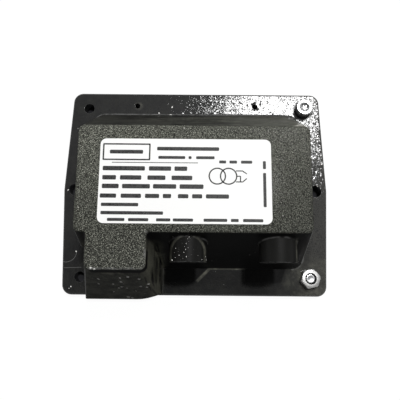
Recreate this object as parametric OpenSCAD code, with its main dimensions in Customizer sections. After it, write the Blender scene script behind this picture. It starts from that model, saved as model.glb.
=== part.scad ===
// Ignition transformer: a resin-filled moulded housing on a drilled mounting flange,
// with a primary connector block and two high-voltage outlets at the front.
// The origin is the centre of the flange's underside. X runs along the long side,
// +Y points to the rear, and +Z points up. Lengths are in millimetres.

/* [Mounting flange] */
// Width of the flange across its side kinks
flange_w = 110.4; // [108:0.2:116]
// Width of the flange at its front and rear edges
flange_end_w = 106.6; // [104:0.2:108]
// Depth of the flange, front to rear
flange_d = 86.2; // [85:0.2:92]
// Thickness of the flange
flange_t = 5.5; // [5:0.25:8]
// Radius of the flange's corners in plan
flange_corner_r = 4; // [2:0.25:5]
// Radius of the flange's top edge
flange_edge_r = 0.8; // [0.4:0.1:1.2]

/* [Fixing holes] */
// Distance of the corner holes from the left and right ends of the front and rear edges
corner_inset_x = 6.9; // [5.5:0.1:7.5]
// Distance of the corner holes from the front and rear edges
corner_inset_y = 7.1; // [5.5:0.1:7.5]
// Diameter of the corner holes
corner_hole_d = 4.3; // [4.1:0.1:4.6]
// Distance of the side holes from the side kinks
side_inset = 4.8; // [4.2:0.1:5.5]
// Diameter of the side holes
side_hole_d = 5; // [4.5:0.1:5.5]
// Spacing of the two rear pilot holes
pilot_hole_dx = 51; // [40:0.5:60]
// Distance of the pilot holes from the rear edge
pilot_inset = 5.7; // [3.5:0.1:6]
// Diameter of the pilot holes
pilot_hole_d = 2.3; // [1.6:0.1:3]

/* [Hood] */
// Height of the hood above the flange
hood_h = 38; // [35:0.5:46]
// Width of the hood at its foot
hood_w = 88.4; // [86:0.2:91]
// Front of the hood's foot, ahead of the flange's middle
hood_front = 32.3; // [31:0.1:34]
// Rear of the hood's foot, behind the flange's middle
hood_rear = 33.3; // [32:0.1:35]
// Width of the top face
top_w = 77.8; // [74:0.2:84]
// Front edge of the top face, ahead of the middle
top_front = 21.3; // [19:0.1:24]
// Rear edge of the top face, behind the middle
top_rear = 14.5; // [12:0.1:18]
// Plan radius of the hood's corners at its foot
foot_corner_r = 5; // [3:0.25:6]
// Edge radius round the top face
top_edge_r = 1.2; // [0.8:0.1:1.8]
// Plan radius of the corners of the top face
top_corner_r = 2.2; // [1.8:0.1:4]
// Wall thickness of the moulding
wall = 2.5; // [2:0.1:3]
// Edge radius round the top of the cavity
cavity_top_r = 1; // [0.8:0.1:1.5]

/* [Connector block] */
// Distance of the block's foot from the left side of the hood's foot
block_inset = 0.8; // [0.4:0.1:2]
// Distance of the block's top from the left edge of the top face
block_top_inset = 4.2; // [3:0.1:6]
// Width of the block's top
block_top_w = 19.7; // [18:0.1:21]
// Distance that the block's foot stands out to the right of its top
block_draft = 2.4; // [1:0.1:3.5]
// Distance that the block's foot stands past the flange's front edge
block_overhang = 1.6; // [0.8:0.1:2]
// Front edge of the block's top, ahead of the middle
block_top_front = 33.3; // [32:0.1:34]
// Plan radius of the front corners of the block's top
block_top_r = 2.2; // [1.8:0.1:3]
// Width of the slanted right end of the foot's front
block_flare_w = 7.3; // [5:0.1:10]
// Distance that the slanted end runs back
block_flare_d = 2.2; // [2.1:0.1:3]
// Bend radius at the start of the slanted end
block_bend_r = 20; // [5:1:30]

/* [Primary socket] */
// Width of the socket, front to rear
socket_w = 10; // [9:0.2:11]
// Height of the socket
socket_h = 21; // [20:0.5:23]
// Floor of the socket above the flange
socket_rise = 2.5; // [2:0.1:4]
// Thickness of the wall behind the socket
socket_end_wall = 2; // [1.5:0.1:2.5]
// Depth of the resin duct behind that wall
duct_w = 6.1; // [5.5:0.1:7]

/* [Blades] */
// Width of a blade
blade_w = 6.3; // [4.8:0.1:6.3]
// Thickness of a blade
blade_t = 0.8; // [0.5:0.05:1]
// Length of a blade in the socket
blade_reach = 8.5; // [7:0.1:9]
// Length of a blade's tail in the duct
blade_tail = 3.3; // [2.5:0.1:3.5]
// Spacing of the blades
blade_pitch = 6.5; // [6:0.1:7]
// Chamfer of a blade's nose
blade_chamfer = 1.25; // [0.8:0.05:1.5]
// Diameter of the hole that a plug's terminal snaps into
blade_hole_d = 1.6; // [1.2:0.1:1.8]
// Distance of that hole from the blade's nose
blade_hole_inset = 3.5; // [3:0.1:4.5]

/* [High-voltage outlets] */
// Distance of the right outlet's axis from the right edge of the top face
outlet_inset = 10.1; // [9:0.1:12]
// Spacing of the two outlets
outlet_pitch = 30.6; // [28:0.1:32]
// Drop of the outlets' axes below the top face
outlet_drop = 9.5; // [9.3:0.1:11]
// Outside diameter of an outlet tube
outlet_d = 12.8; // [12:0.1:13]
// Bore of an outlet tube
outlet_bore_d = 9; // [8:0.1:9.5]
// Reach of the tubes past the front edge of the top face
outlet_reach = 9.4; // [8.5:0.1:11]
// Depth of an outlet's bore
outlet_bore_depth = 9; // [8:0.1:9.4]
// Thickness of the wall at the end of an outlet's bore
outlet_end_wall = 2; // [1.6:0.1:2.2]
// Diameter of the contact in that wall
contact_d = 6; // [5:0.1:7]
// Diameter of the contact's socket
contact_socket_d = 2; // [1.5:0.1:2.5]
// Thickness of the contact behind its socket
contact_floor = 0.6; // [0.4:0.1:0.8]

/* [Label] */
// Width of the label
label_w = 56.6; // [50:0.2:60]
// Depth of the label
label_d = 28.4; // [25:0.2:30]
// X of the label's middle
label_x = -2.8; // [-5:0.1:0]
// Y of the label's middle
label_y = -4.5; // [-5:0.1:-3]
// Corner radius of the label
label_corner_r = 2; // [1:0.25:3]
// Thickness of the label
label_t = 0.15; // [0.1:0.05:0.3]

/* [Core and coils] */
// Depth of a coil, from the core to the edge of its flanges
coil_depth = 7.8; // [7:0.1:8.5]
// Distance of the windings under the edge of their flanges
winding_step = 0.8; // [0.6:0.1:1.5]
// Length of the primary coil along the core
primary_len = 20; // [16:0.5:22]
// Wall and flange thickness of the bobbins
bobbin_t = 1; // [0.8:0.1:1.4]
// Corner radius of the windings
winding_r = 3; // [2:0.25:4]
// Thickness of the magnetic shunt along the core
shunt_t = 4; // [3:0.25:5]
// Thickness of the spacer that sets the shunt's air gap
shunt_gap = 0.6; // [0.4:0.1:1]
// Resin between the coils and the underside
coil_cover = 5.4; // [4:0.1:7]
// Resin between the coils and the front wall
coil_gap = 1.3; // [0.8:0.1:1.6]
// Resin between the core and the walls
core_gap = 0.5; // [0.3:0.1:1]
// Diameter of the primary leads
lead_d = 1.6; // [1:0.1:2]
// Diameter of the high-voltage leads
hv_lead_d = 1; // [0.6:0.1:1.1]
// Resin between the high-voltage leads and the bobbins
hv_lead_gap = 0.3; // [0.2:0.05:0.4]

/* [Fasteners] */
// Thread diameter of the screws
screw_d = 4; // [3.6:0.1:4]
// Head diameter of the cap screw
cap_head_d = 7; // [6.5:0.1:7.2]
// Head height of the cap screw
cap_head_h = 4; // [3.6:0.1:4.4]
// Size of the cap screw's hexagon socket, across its flats
hex_key = 3; // [2.5:0.5:3]
// Depth of the hexagon socket
hex_key_depth = 2; // [1.5:0.1:2.5]
// Length of the cap screw's shank
cap_shank = 5; // [4:0.5:5]
// Chamfer of the screws' ends and of the cap screw's head
screw_chamfer = 0.4; // [0.2:0.1:0.5]
// Head diameter of the countersunk bolt
countersunk_d = 7.5; // [7:0.1:8]
// Head height of the countersunk bolt
countersunk_h = 2.2; // [1.8:0.1:2.4]
// Length of the countersunk bolt, with its head
bolt_len = 8.2; // [8:0.1:12]
// Size of the nut across its flats
nut_af = 7; // [6.5:0.1:7]
// Height of the nut
nut_h = 3.2; // [2.2:0.1:3.2]
// Height of the cone on each end of the nut
nut_chamfer = 0.4; // [0.2:0.1:0.6]
// Angle that the nut is turned
nut_turn = 13; // [0:1:60]

/* [Clearances] */
// Play of a bobbin round the core, on each side
bobbin_play = 0.15; // [0.1:0.05:0.25]
// Play of a blade in its slot, on each side
slot_play = 0.05; // [0.02:0.01:0.1]
// Play of the thread in the nut, on the radius
thread_play = 0.03; // [0.02:0.01:0.1]
// Play of the bolt's head in its countersink, on the radius
countersink_play = 0.1; // [0.05:0.05:0.2]
// Edge of the socket's end wall that holds the blade carrier
carrier_step = 1.2; // [0.8:0.1:1.2]
// Play of the blade carrier in the duct
carrier_play = 0.3; // [0.2:0.1:0.5]

/* [Hidden] */

$fn = 64;
facets = 32;   // for the children of a hull
cut = 1;       // how far a cutter runs past the face that it opens

// Heights
top_z = flange_t + hood_h;
ceiling_z = top_z - wall;
outlet_z = top_z - outlet_drop;

// The rectangles [left, right, front, rear] of the hood and its cavity
hood_foot = [-hood_w / 2, hood_w / 2, -hood_front, hood_rear];
hood_top = [-top_w / 2, top_w / 2, -top_front, top_rear];
inset = [wall, -wall, wall, -wall];
cavity_foot = hood_foot + inset;
cavity_top = hood_top + inset;
cavity_foot_r = foot_corner_r - wall / 2;

// Side of the cavity at a height, for one entry of the rectangles above
function cavity_side(i, z) =
    cavity_foot[i] + (cavity_top[i] - cavity_foot[i]) * (z - flange_t) / (ceiling_z - flange_t);

// The connector block
block_left = block_inset - hood_w / 2;
block_top_left = block_top_inset - top_w / 2;
block_top_right = block_top_left + block_top_w;
block_right = block_top_right + block_draft;
block_front = -(flange_d / 2 + block_overhang);
block_tail_y = -top_front + wall;
function block_front_y(z) = block_front + (-block_top_front - block_front) * (z - flange_t) / hood_h;

// The primary socket, its wall and the duct behind it
socket_z0 = flange_t + socket_rise;
socket_z1 = socket_z0 + socket_h;
socket_y0 = block_front_y(socket_z1) + wall;
socket_y1 = socket_y0 + socket_w;
socket_y = (socket_y0 + socket_y1) / 2;
duct_x1 = block_top_right - wall;
duct_x0 = duct_x1 - duct_w;
socket_x1 = duct_x0 - socket_end_wall;
carrier_x1 = duct_x0 + socket_end_wall;
tail_x = carrier_x1 + blade_tail / 2;
lead_y = socket_y + blade_w / 2;
function blade_z(i) = (socket_z0 + socket_z1) / 2 + i * blade_pitch;

// The core and the coils, which hang under the ceiling.
// What is cut to fit the cavity is rounded down to a tenth.
function tenth(size) = floor(10 * size) / 10;
core_z1 = ceiling_z - coil_depth;
core_z0 = coil_cover + coil_depth;
stack_h = core_z1 - core_z0;
core_z = (core_z0 + core_z1) / 2;
window_w = coil_depth + core_gap;
core_half_l = tenth(cavity_side(1, core_z1) - 2 * core_gap - cavity_top_r);
coil_front = cavity_top[2] + coil_gap;
core_front = coil_front + coil_depth;
limb_w = tenth((cavity_side(3, core_z1) - core_gap - core_front - window_w) / 2);
i_rear = core_front + limb_w;
window_rear = i_rear + window_w;
core_rear = window_rear + limb_w;
window_half_l = core_half_l - limb_w;
primary_x = -window_half_l + primary_len / 2;
shunt_x = -window_half_l + primary_len + shunt_t / 2;
secondary_len = (2 * window_half_l - primary_len - shunt_t) / 2;
left_secondary_x = shunt_x + shunt_t / 2 + secondary_len / 2;
right_secondary_x = left_secondary_x + secondary_len;
winding_front = coil_front + winding_step;

// The outlets
right_outlet_x = top_w / 2 - outlet_inset;
left_outlet_x = right_outlet_x - outlet_pitch;
outlet_front = -top_front - outlet_reach;
outlet_bore_end = outlet_front + outlet_bore_depth;
outlet_end = outlet_bore_end + outlet_end_wall;
hv_lead_y = coil_front - hv_lead_gap - hv_lead_d / 2;

// Positions of the flange's holes
hole_x = flange_end_w / 2 - corner_inset_x;
hole_y = flange_d / 2 - corner_inset_y;
side_hole_x = flange_w / 2 - side_inset;
pilot_hole_y = flange_d / 2 - pilot_inset;

// The plan of the flange: straight sides from the kinks to the rounded corners
taper = atan((flange_w - flange_end_w) / flange_d);
corner_y = flange_d / 2 - flange_corner_r;
corner_x = flange_w / 2 - (flange_corner_r + sin(taper) * corner_y) / cos(taper);

// The plan at a distance inside its outline
module flange_plan(step) {
    r = flange_corner_r - step;
    kink_x = flange_w / 2 - step / cos(taper);
    side_x = corner_x + r * cos(taper);
    side_y = corner_y + r * sin(taper);
    end_y = corner_y + r;
    polygon([
        [kink_x, 0], [side_x, side_y], [corner_x, end_y],
        [-corner_x, end_y], [-side_x, side_y], [-kink_x, 0],
        [-side_x, -side_y], [-corner_x, -end_y],
        [corner_x, -end_y], [side_x, -side_y]
    ]);
    for (sx = [-1, 1], sy = [-1, 1])
        translate([sx * corner_x, sy * corner_y])
            circle(r = r, $fn = facets);
}

// The flange, a stack of plans that rounds its top edge
module flange() {
    hull()
        for (angle = [0, 30, 60, 90])
            linear_extrude(flange_t - flange_edge_r * (1 - sin(angle)))
                flange_plan(flange_edge_r * (1 - cos(angle)));
}

// A rectangle about the origin with round corners
module round_rect(w, d, r) {
    square([w, d - 2 * r], center = true);
    square([w - 2 * r, d], center = true);
    for (sx = [-1, 1], sy = [-1, 1])
        translate([sx * (w / 2 - r), sy * (d / 2 - r)])
            circle(r = r);
}

// Flat disc with a fully round edge, which is a ball when both radii are the same
module round_disc(r, edge_r)
    rotate_extrude($fn = facets)
        intersection() {
            translate([r - edge_r, 0])
                circle(r = edge_r, $fn = facets);
            translate([0, -edge_r])
                square([r, 2 * edge_r]);
        }

// Distance from the edge of a wall, which leans out by a slope, to the middle of
// the disc that rounds the edge
function disc_inset(r, edge_r, slope) = r - edge_r + edge_r * (sqrt(1 + slope * slope) - slope);

// A drafted body between a foot and a top rectangle, with round corners and top
// edges. Its foot carries on straight down by sink.
module drafted(foot, top, z0, z1, sink, foot_r, corner_r, edge_r) {
    rise = z1 - z0;
    hull() {
        for (i = [0, 1], j = [2, 3])
            translate([foot[i] + (1 - 2 * i) * foot_r, foot[j] + (5 - 2 * j) * foot_r, z0 - sink])
                cylinder(r = foot_r, h = sink, $fn = facets);
        for (i = [0, 1], j = [2, 3])
            translate([
                top[i] + (1 - 2 * i) * disc_inset(corner_r, edge_r, abs(top[i] - foot[i]) / rise),
                top[j] + (5 - 2 * j) * disc_inset(corner_r, edge_r, abs(top[j] - foot[j]) / rise),
                z1 - edge_r
            ])
                round_disc(corner_r, edge_r);
    }
}

// The plan of the block's foot, which bends back to the flange's front edge at its right end
module block_plan() {
    turn = atan(block_flare_d / block_flare_w);
    bend_x = block_right - block_flare_w - block_bend_r * tan(turn / 2);
    polygon(concat(
        [[block_right, block_tail_y], [block_left, block_tail_y], [block_left, block_front]],
        [for (share = [0, 0.25, 0.5, 0.75, 1]) [
            bend_x + block_bend_r * sin(turn * share),
            block_front + block_bend_r * (1 - cos(turn * share))
        ]],
        [[block_right, block_front + block_flare_d]]
    ));
}

// The connector block: its left, front and right walls slope, and its foot
// carries on straight down past the flange's front edge
module block() {
    left = disc_inset(block_top_r, top_edge_r, (block_top_left - block_left) / hood_h);
    right = disc_inset(block_top_r, top_edge_r, (block_right - block_top_right) / hood_h);
    front = disc_inset(block_top_r, top_edge_r, (-block_top_front - block_front) / hood_h);
    hull() {
        linear_extrude(flange_t)
            block_plan();
        for (x = [block_top_left + left, block_top_right - right],
                y = [-block_top_front + front, block_tail_y])
            translate([x, y, top_z - top_edge_r])
                round_disc(block_top_r, top_edge_r);
    }
}

// Cylinder along +Y from the front end given
module along_y(x, y0, z, r, length)
    translate([x, y0, z])
        rotate([-90, 0, 0])
            cylinder(r = r, h = length);

// Box between two opposite corners
module box(low, high)
    translate(low)
        cube(high - low);

// Round wire through a list of points, with ball joints at its bends
module wire(points, d) {
    for (i = [1:len(points) - 1]) {
        run = points[i] - points[i - 1];
        translate(points[i - 1])
            rotate([0, acos(run[2] / norm(run)), atan2(run[1], run[0])])
                cylinder(d = d, h = norm(run), $fn = 24);
    }
    for (i = [1:1:len(points) - 2])
        translate(points[i])
            sphere(d = d, $fn = 24);
}

// The two tubes that stand out of the hood's front wall
module outlet_tubes()
    for (x = [left_outlet_x, right_outlet_x])
        along_y(x, outlet_front, outlet_z, outlet_d / 2, outlet_end - outlet_front);

// The cavity that the resin fills, down to a height below the flange's top.
// The walls of the socket and the ends of the tubes stand into it.
module cavity(sink) {
    difference() {
        drafted(cavity_foot, cavity_top, flange_t, ceiling_z, sink,
            cavity_foot_r, cavity_top_r, cavity_top_r);
        box([-hood_w, block_front, socket_z0 - wall], [duct_x0, socket_y1 + wall, socket_z1 + wall]);
        outlet_tubes();
    }
    box([duct_x0, socket_y0 - carrier_play, flange_t - sink],
        [duct_x1, coil_front - coil_gap, socket_z1 + carrier_play]);
}

// One moulding: flange, hood, connector block and outlet tubes
module housing() {
    color("#2b2b2b")
    difference() {
        union() {
            flange();
            drafted(hood_foot, hood_top, flange_t, top_z, cut, foot_corner_r, top_corner_r, top_edge_r);
            block();
            outlet_tubes();
        }
        cavity(flange_t + cut);
        flange_holes();
        socket_cut();
        for (x = [left_outlet_x, right_outlet_x]) {
            along_y(x, outlet_front - cut, outlet_z, outlet_bore_d / 2, outlet_bore_depth + cut);
            along_y(x, outlet_front, outlet_z, contact_d / 2, outlet_end - outlet_front + cut);
        }
    }
}

// The holes of the flange, with the countersink for the bolt from below
module flange_holes() {
    for (sx = [-1, 1], sy = [-1, 1])
        translate([sx * hole_x, sy * hole_y, -cut])
            cylinder(d = corner_hole_d, h = flange_t + 2 * cut);
    for (sx = [-1, 1])
        translate([sx * side_hole_x, 0, -cut])
            cylinder(d = side_hole_d, h = flange_t + 2 * cut);
    for (sx = [-1, 1])
        translate([sx * pilot_hole_dx / 2, pilot_hole_y, -cut])
            cylinder(d = pilot_hole_d, h = flange_t + 2 * cut);
    translate([hole_x, -hole_y, 0])
        countersunk_head(countersink_play);
}

// The socket in the block's left side, and the window for the blade carrier
module socket_cut() {
    box([-hood_w, socket_y0, socket_z0], [socket_x1, socket_y1, socket_z1]);
    box([socket_x1 - cut, socket_y0 + carrier_step, socket_z0 + carrier_step],
        [duct_x0 + cut, socket_y1 - carrier_step, socket_z1 - carrier_step]);
}

// Resin round the core and coils, level with the underside
module potting_resin() {
    color("#1d1a17")
    difference() {
        cavity(flange_t);
        core_space();
        coil_space(primary_x, primary_len);
        coil_space(left_secondary_x, secondary_len);
        coil_space(right_secondary_x, secondary_len);
        carrier_plate();
        for (i = [-1, 0, 1])
            blade(i);
        line_wire();
        earth_wire();
        neutral_wire();
        hv_contact(left_outlet_x);
        hv_contact(right_outlet_x);
        hv_wire(left_outlet_x, left_secondary_x);
        hv_wire(right_outlet_x, right_secondary_x);
    }
}

// Sticker on the top face
module label() {
    color("white")
    translate([label_x, label_y, top_z])
        linear_extrude(label_t)
            round_rect(label_w, label_d, label_corner_r);
}

// What the core takes up, with the shunt and its spacer
module core_space() {
    i_stack();
    u_stack();
    box([shunt_x - shunt_t / 2, i_rear, core_z0], [shunt_x + shunt_t / 2, window_rear, core_z1]);
}

module i_stack()
    box([-core_half_l, core_front, core_z0], [core_half_l, i_rear, core_z1]);

module u_stack() {
    box([-core_half_l, window_rear, core_z0], [core_half_l, core_rear, core_z1]);
    for (x = [-core_half_l, window_half_l])
        box([x, i_rear, core_z0], [x + limb_w, window_rear, core_z1]);
}

// Straight stack of laminations that carries the coils
module i_core() color("#8a8f94") i_stack();

// Stack that closes the magnetic loop behind the coils
module u_core() color("#8a8f94") u_stack();

// Short stack across the window that lets part of the flux past the secondaries
module magnetic_shunt() {
    color("#9a9fa4")
    box([shunt_x - shunt_t / 2, i_rear + shunt_gap, core_z0],
        [shunt_x + shunt_t / 2, window_rear, core_z1]);
}

// Pressboard that keeps the shunt's air gap
module shunt_spacer() {
    color("#c8b48a")
    box([shunt_x - shunt_t / 2, i_rear, core_z0],
        [shunt_x + shunt_t / 2, i_rear + shunt_gap, core_z1]);
}

// Section of a coil at a depth over the core, looking along X, with plain or round corners
module coil_section(depth, r)
    translate([core_front + limb_w / 2, core_z])
        if (r > 0)
            round_rect(limb_w + 2 * depth, stack_h + 2 * depth, r);
        else
            square([limb_w + 2 * depth, stack_h + 2 * depth], center = true);

// Section in the YZ plane, drawn out along X between two places
module along_x(x0, x1)
    translate([x0, 0, 0])
        rotate([90, 0, 90])
            linear_extrude(x1 - x0)
                children();

// What a coil takes up in the resin
module coil_space(x, length) {
    x0 = x - length / 2;
    x1 = x + length / 2;
    for (side = [x0, x1 - bobbin_t])
        along_x(side, side + bobbin_t)
            coil_section(coil_depth, 0);
    along_x(x0, x1)
        coil_section(coil_depth - winding_step, winding_r);
}

// Bobbin with a square tube and two flanges
module bobbin(x, length) {
    x0 = x - length / 2;
    x1 = x + length / 2;
    difference() {
        union() {
            along_x(x0, x1)
                coil_section(bobbin_play + bobbin_t, 0);
            for (side = [x0, x1 - bobbin_t])
                along_x(side, side + bobbin_t)
                    coil_section(coil_depth, 0);
        }
        along_x(x0 - cut, x1 + cut)
            coil_section(bobbin_play, 0);
    }
}

// Winding between the flanges of a bobbin
module winding(x, length) {
    x0 = x - length / 2 + bobbin_t;
    x1 = x + length / 2 - bobbin_t;
    difference() {
        along_x(x0, x1)
            coil_section(coil_depth - winding_step, winding_r);
        along_x(x0 - cut, x1 + cut)
            coil_section(bobbin_play + bobbin_t, 0);
    }
}

module primary_bobbin() color("#d8cfae") bobbin(primary_x, primary_len);
module primary_winding() color("#b87333") winding(primary_x, primary_len);
module left_secondary_bobbin() color("#d8cfae") bobbin(left_secondary_x, secondary_len);
module left_secondary_winding() color("#9c5a2a") winding(left_secondary_x, secondary_len);
module right_secondary_bobbin() color("#d8cfae") bobbin(right_secondary_x, secondary_len);
module right_secondary_winding() color("#9c5a2a") winding(right_secondary_x, secondary_len);

// Turned contact in the end wall of an outlet, with a solder tail behind it
module hv_contact(x) {
    difference() {
        union() {
            along_y(x, outlet_bore_end, outlet_z, contact_d / 2, outlet_end_wall);
            along_y(x, outlet_end, outlet_z, hv_lead_d, hv_lead_y - hv_lead_d / 2 - outlet_end);
        }
        along_y(x, outlet_bore_end - cut, outlet_z, contact_socket_d / 2,
            cut + outlet_end_wall - contact_floor);
    }
}

// Lead from a contact's tail to the front of its winding
module hv_wire(x, winding_x)
    wire([
        [x, hv_lead_y - hv_lead_d / 2, outlet_z],
        [x, hv_lead_y, outlet_z],
        [winding_x, hv_lead_y, outlet_z],
        [winding_x, winding_front, outlet_z]
    ], hv_lead_d);

module left_hv_contact() color("#c9a227") hv_contact(left_outlet_x);
module right_hv_contact() color("#c9a227") hv_contact(right_outlet_x);
module left_hv_lead() color("#b02a20") hv_wire(left_outlet_x, left_secondary_x);
module right_hv_lead() color("#b02a20") hv_wire(right_outlet_x, right_secondary_x);

// Plate of the blade carrier, with the step that fills the window
module carrier_plate() {
    box([socket_x1, socket_y0 + carrier_step, socket_z0 + carrier_step],
        [duct_x0, socket_y1 - carrier_step, socket_z1 - carrier_step]);
    box([duct_x0, socket_y0, socket_z0], [carrier_x1, socket_y1, socket_z1]);
}

// Insulating carrier that holds the three blades in the socket's end wall
module blade_carrier() {
    slot_half_w = blade_w / 2 + slot_play;
    slot_half_h = blade_t / 2 + slot_play;
    color("#3a3a3a")
    difference() {
        carrier_plate();
        for (i = [-1, 0, 1])
            box([socket_x1 - cut, socket_y - slot_half_w, blade_z(i) - slot_half_h],
                [carrier_x1 + cut, socket_y + slot_half_w, blade_z(i) + slot_half_h]);
    }
}

// Tab blade: its nose is chamfered and drilled, and its tail stands in the duct
module blade(i) {
    tip = socket_x1 - blade_reach;
    translate([0, socket_y, blade_z(i) - blade_t / 2])
        difference() {
            linear_extrude(blade_t)
                polygon([
                    [tip + blade_chamfer, -blade_w / 2], [carrier_x1 + blade_tail, -blade_w / 2],
                    [carrier_x1 + blade_tail, blade_w / 2], [tip + blade_chamfer, blade_w / 2],
                    [tip, blade_w / 2 - blade_chamfer], [tip, blade_chamfer - blade_w / 2]
                ]);
            translate([tip + blade_hole_inset, 0, -cut])
                cylinder(d = blade_hole_d, h = blade_t + 2 * cut);
        }
}

module line_blade() color("#c8c6be") blade(1);
module earth_blade() color("#c8c6be") blade(0);
module neutral_blade() color("#c8c6be") blade(-1);

// Straight leads from the outer blades' tails to the primary winding
module line_wire() wire([[tail_x, lead_y, blade_z(1)], [tail_x, winding_front, blade_z(1)]], lead_d);
module neutral_wire() wire([[tail_x, lead_y, blade_z(-1)], [tail_x, winding_front, blade_z(-1)]], lead_d);

// Lead from the middle blade round the primary coil to the core
module earth_wire() {
    turn_y = (socket_y1 + wall + coil_front) / 2;
    core_x = -core_half_l + limb_w / 2;
    wire([
        [tail_x, lead_y, blade_z(0)], [tail_x, turn_y, blade_z(0)],
        [core_x, turn_y, blade_z(0)], [core_x, core_front, blade_z(0)]
    ], lead_d);
}

module line_lead() color("#6b4226") line_wire();
module earth_lead() color("#6a8f2a") earth_wire();
module neutral_lead() color("#2f5f9f") neutral_wire();

// Socket-head screw left in the rear right hole
module cap_screw() {
    color("#c9ccd0")
    translate([hole_x, hole_y, flange_t])
        difference() {
            rotate_extrude()
                polygon([
                    [0, -cap_shank], [screw_d / 2 - screw_chamfer, -cap_shank],
                    [screw_d / 2, screw_chamfer - cap_shank], [screw_d / 2, 0],
                    [cap_head_d / 2, 0], [cap_head_d / 2, cap_head_h - screw_chamfer],
                    [cap_head_d / 2 - screw_chamfer, cap_head_h], [0, cap_head_h]
                ]);
            translate([0, 0, cap_head_h - hex_key_depth])
                cylinder(d = hex_key / cos(30), h = hex_key_depth + cut, $fn = 6);
        }
}

// Cone of a countersunk head that stands on its wide end, with play on its radius
module countersunk_head(play)
    cylinder(r1 = countersunk_d / 2 + play, r2 = screw_d / 2 + play, h = countersunk_h);

// Countersunk bolt from below in the front right hole
module countersunk_bolt() {
    color("#b9bcc0")
    translate([hole_x, -hole_y, 0])
        difference() {
            union() {
                countersunk_head(0);
                cylinder(d = screw_d, h = bolt_len - screw_chamfer);
                translate([0, 0, bolt_len - screw_chamfer])
                    cylinder(r1 = screw_d / 2, r2 = screw_d / 2 - screw_chamfer, h = screw_chamfer);
            }
            translate([0, 0, -cut])
                cylinder(d = hex_key / cos(30), h = cut + countersunk_h / 2, $fn = 6);
        }
}

// Nut with both ends turned to a cone
module hex_nut() {
    wide_r = nut_af / 2 / cos(30);
    color("#c9ccd0")
    translate([hole_x, -hole_y, flange_t])
        rotate([0, 0, nut_turn])
            difference() {
                intersection() {
                    cylinder(r = wide_r, h = nut_h, $fn = 6);
                    rotate_extrude()
                        polygon([
                            [0, 0], [nut_af / 2, 0], [wide_r, nut_chamfer],
                            [wide_r, nut_h - nut_chamfer], [nut_af / 2, nut_h], [0, nut_h]
                        ]);
                }
                translate([0, 0, -cut])
                    cylinder(r = screw_d / 2 + thread_play, h = nut_h + 2 * cut);
            }
}

housing();
potting_resin();
label();
i_core();
u_core();
magnetic_shunt();
shunt_spacer();
primary_bobbin();
primary_winding();
left_secondary_bobbin();
left_secondary_winding();
right_secondary_bobbin();
right_secondary_winding();
left_hv_contact();
right_hv_contact();
left_hv_lead();
right_hv_lead();
blade_carrier();
line_blade();
earth_blade();
neutral_blade();
line_lead();
earth_lead();
neutral_lead();
cap_screw();
countersunk_bolt();
hex_nut();
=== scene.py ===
# %% [markdown]
# # Dressing an ignition transformer
#
# The real thing fires the spark of an oil or gas burner. Copper coils on a steel core sit in a black
# plastic moulding that is filled with resin, so all that shows is the moulding, a label, a few
# fasteners and, deep in its openings, the metal parts that the leads plug onto.
#
# The CAD model already has every part in its place and size. It is loaded as a fixed frame, and this
# lesson gives it what CAD leaves out: soft edges, threads, a knurled screw head, a printed label, and
# materials with grain, dust and wear. A finished piece takes the place of the plain one.

# %% Load the frame
from math import atan2, cos, hypot, pi, radians, sin

import bmesh
import bpy
from mathutils import Matrix, Vector
from mathutils.bvhtree import BVHTree

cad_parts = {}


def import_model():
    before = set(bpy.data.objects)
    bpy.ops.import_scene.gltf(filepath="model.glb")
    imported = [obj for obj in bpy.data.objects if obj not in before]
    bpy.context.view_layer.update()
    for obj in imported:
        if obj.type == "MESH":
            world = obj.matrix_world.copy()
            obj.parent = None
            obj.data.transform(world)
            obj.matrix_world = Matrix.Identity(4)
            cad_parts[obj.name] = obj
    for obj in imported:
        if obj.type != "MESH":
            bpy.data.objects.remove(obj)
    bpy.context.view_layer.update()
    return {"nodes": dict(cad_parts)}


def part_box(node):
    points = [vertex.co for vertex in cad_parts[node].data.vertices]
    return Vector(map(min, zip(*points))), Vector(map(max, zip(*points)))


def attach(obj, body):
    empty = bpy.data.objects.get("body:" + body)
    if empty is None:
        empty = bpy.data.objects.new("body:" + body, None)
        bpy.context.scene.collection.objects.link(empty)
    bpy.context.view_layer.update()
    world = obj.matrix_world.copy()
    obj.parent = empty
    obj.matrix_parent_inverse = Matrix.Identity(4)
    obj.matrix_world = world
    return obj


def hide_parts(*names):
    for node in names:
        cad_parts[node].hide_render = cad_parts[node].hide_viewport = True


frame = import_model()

mm = 0.001
scene = bpy.context.scene
scene.view_settings.view_transform = "Standard"
print("parts in the frame:", len(frame["nodes"]))

# %% [markdown]
# ## The camera
#
# The photograph looks down on the transformer from hand height, tilted a little towards its front.
# The place and tilt of a camera can be read from a photograph of a boxy thing: the upright edges run
# to one vanishing point, and round holes turn oval away from it. A lens of about 37 mm on a 36 mm
# sensor, 175 mm above the table, puts every edge of the model close to where the photograph has it.

# %% Camera
camera_place = Vector((2.3, -34.63, 175.5)) * mm
camera_tilt = (radians(10.2), 0, radians(0.5))

lens = bpy.data.cameras.new("camera")
lens.sensor_width = 36
lens.lens = 37.17
lens.clip_start = 10 * mm
lens.clip_end = 20
camera = bpy.data.objects.new("camera", lens)
camera.location = camera_place
camera.rotation_euler = camera_tilt
scene.collection.objects.link(camera)
scene.camera = camera
print("camera height:", round(camera_place.z / mm), "mm")

# %% [markdown]
# ## Light
#
# Black plastic shows its shape by what it mirrors, so the light is worth some thought. Two lamps and
# a dim room are enough:
#
# - A small round lamp high at the rear right gives the short shadows under the tubes.
# - A larger panel further back is mirrored by the flange at the rear right, where it breaks into
#   bright specks on the uneven gloss.
#
# An area lamp's watts are spread over its face, so the power that gives a wanted level of light
# grows with the square of its distance. The helper below works that out.

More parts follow.
